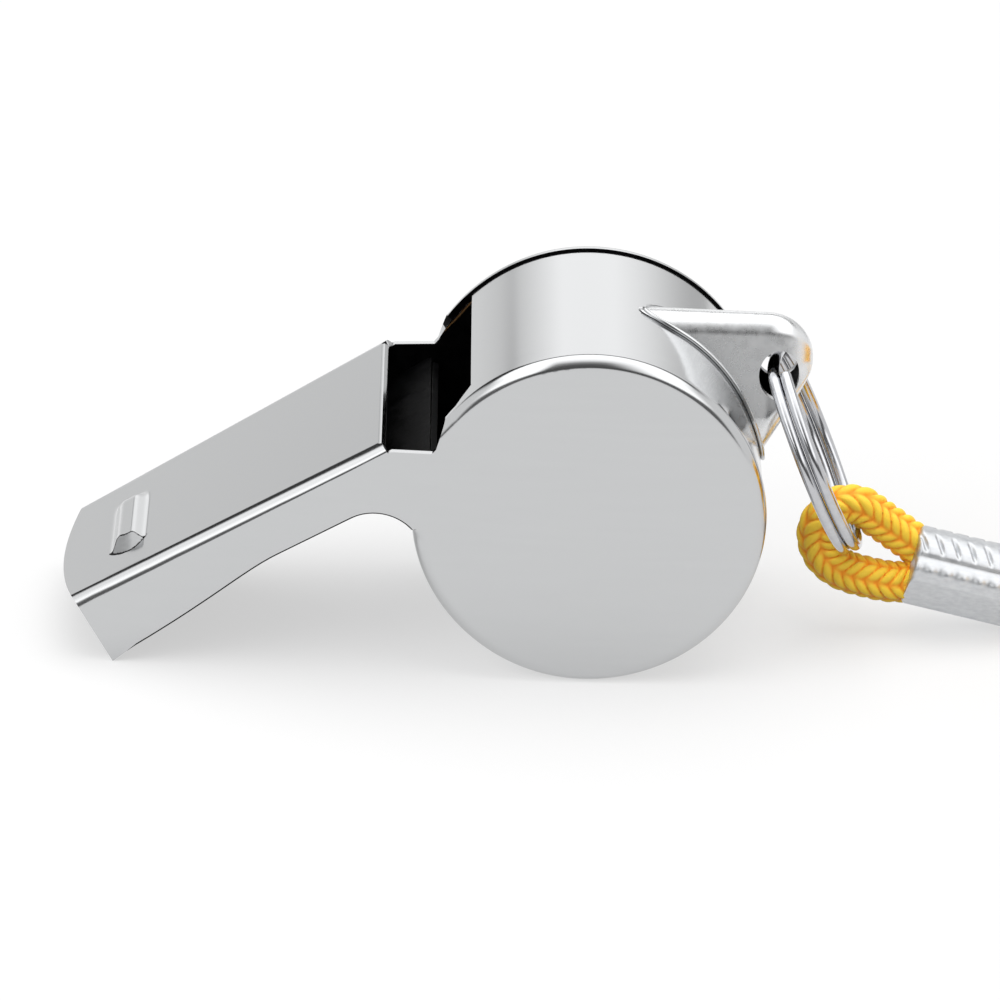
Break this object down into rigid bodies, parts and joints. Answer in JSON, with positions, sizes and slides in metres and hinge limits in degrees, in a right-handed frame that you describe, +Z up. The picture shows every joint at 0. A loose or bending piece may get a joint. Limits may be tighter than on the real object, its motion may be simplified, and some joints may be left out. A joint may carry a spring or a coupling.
{
  "type": "pea whistle with lanyard",
  "caption": "Polished metal pea whistle with a slanting mouthpiece, round chamber, pressed lug, split ring and a braided neck cord tied in a hank.",
  "frame": {"origin": "on the ground under the middle of the whistle and its split ring, with the whistle lying on its barrel and lip", "axes": "+X from the mouthpiece towards the lanyard, +Y across the whistle along the barrel's axis, +Z up"},
  "size_m": [0.1301, 0.0272, 0.022],
  "materials": {
    "steel": "polished",
    "wire": "polished",
    "cork": "matte",
    "braid": "braided",
    "ferrule": "crimped",
    "tie": "matte"
  },
  "bodies": {
    "whistle": {"upper_shell": "steel", "barrel_band": "steel", "windway_floor": "steel", "lanyard_lug": "steel"},
    "pea": {"pea": "cork"},
    "ring": {"split_ring": "wire"},
    "lanyard": {"cord_eye": "braid", "crimp_ferrule": "ferrule", "cord_lead_upper": "braid", "cord_lead_lower": "braid", "cord_hank": "braid", "hank_tie": "tie"}
  },
  "joints": [
    {"name": "pea_orbit", "type": "hinge", "parent": "whistle", "child": "pea", "pos_m": [0.00766, 0, 0.011], "axis": [0, -1, 0], "continuous": true},
    {"name": "ring_swing", "type": "hinge", "parent": "whistle", "child": "ring", "pos_m": [0.01942, 0, 0.01785], "axis": [0, -1, 0], "range_deg": [-10, 110]},
    {"name": "lanyard_swing", "type": "hinge", "parent": "ring", "child": "lanyard", "pos_m": [0.02439, 0, 0.00613], "axis": [0, -1, 0], "range_deg": [-60, 50]}
  ]
}
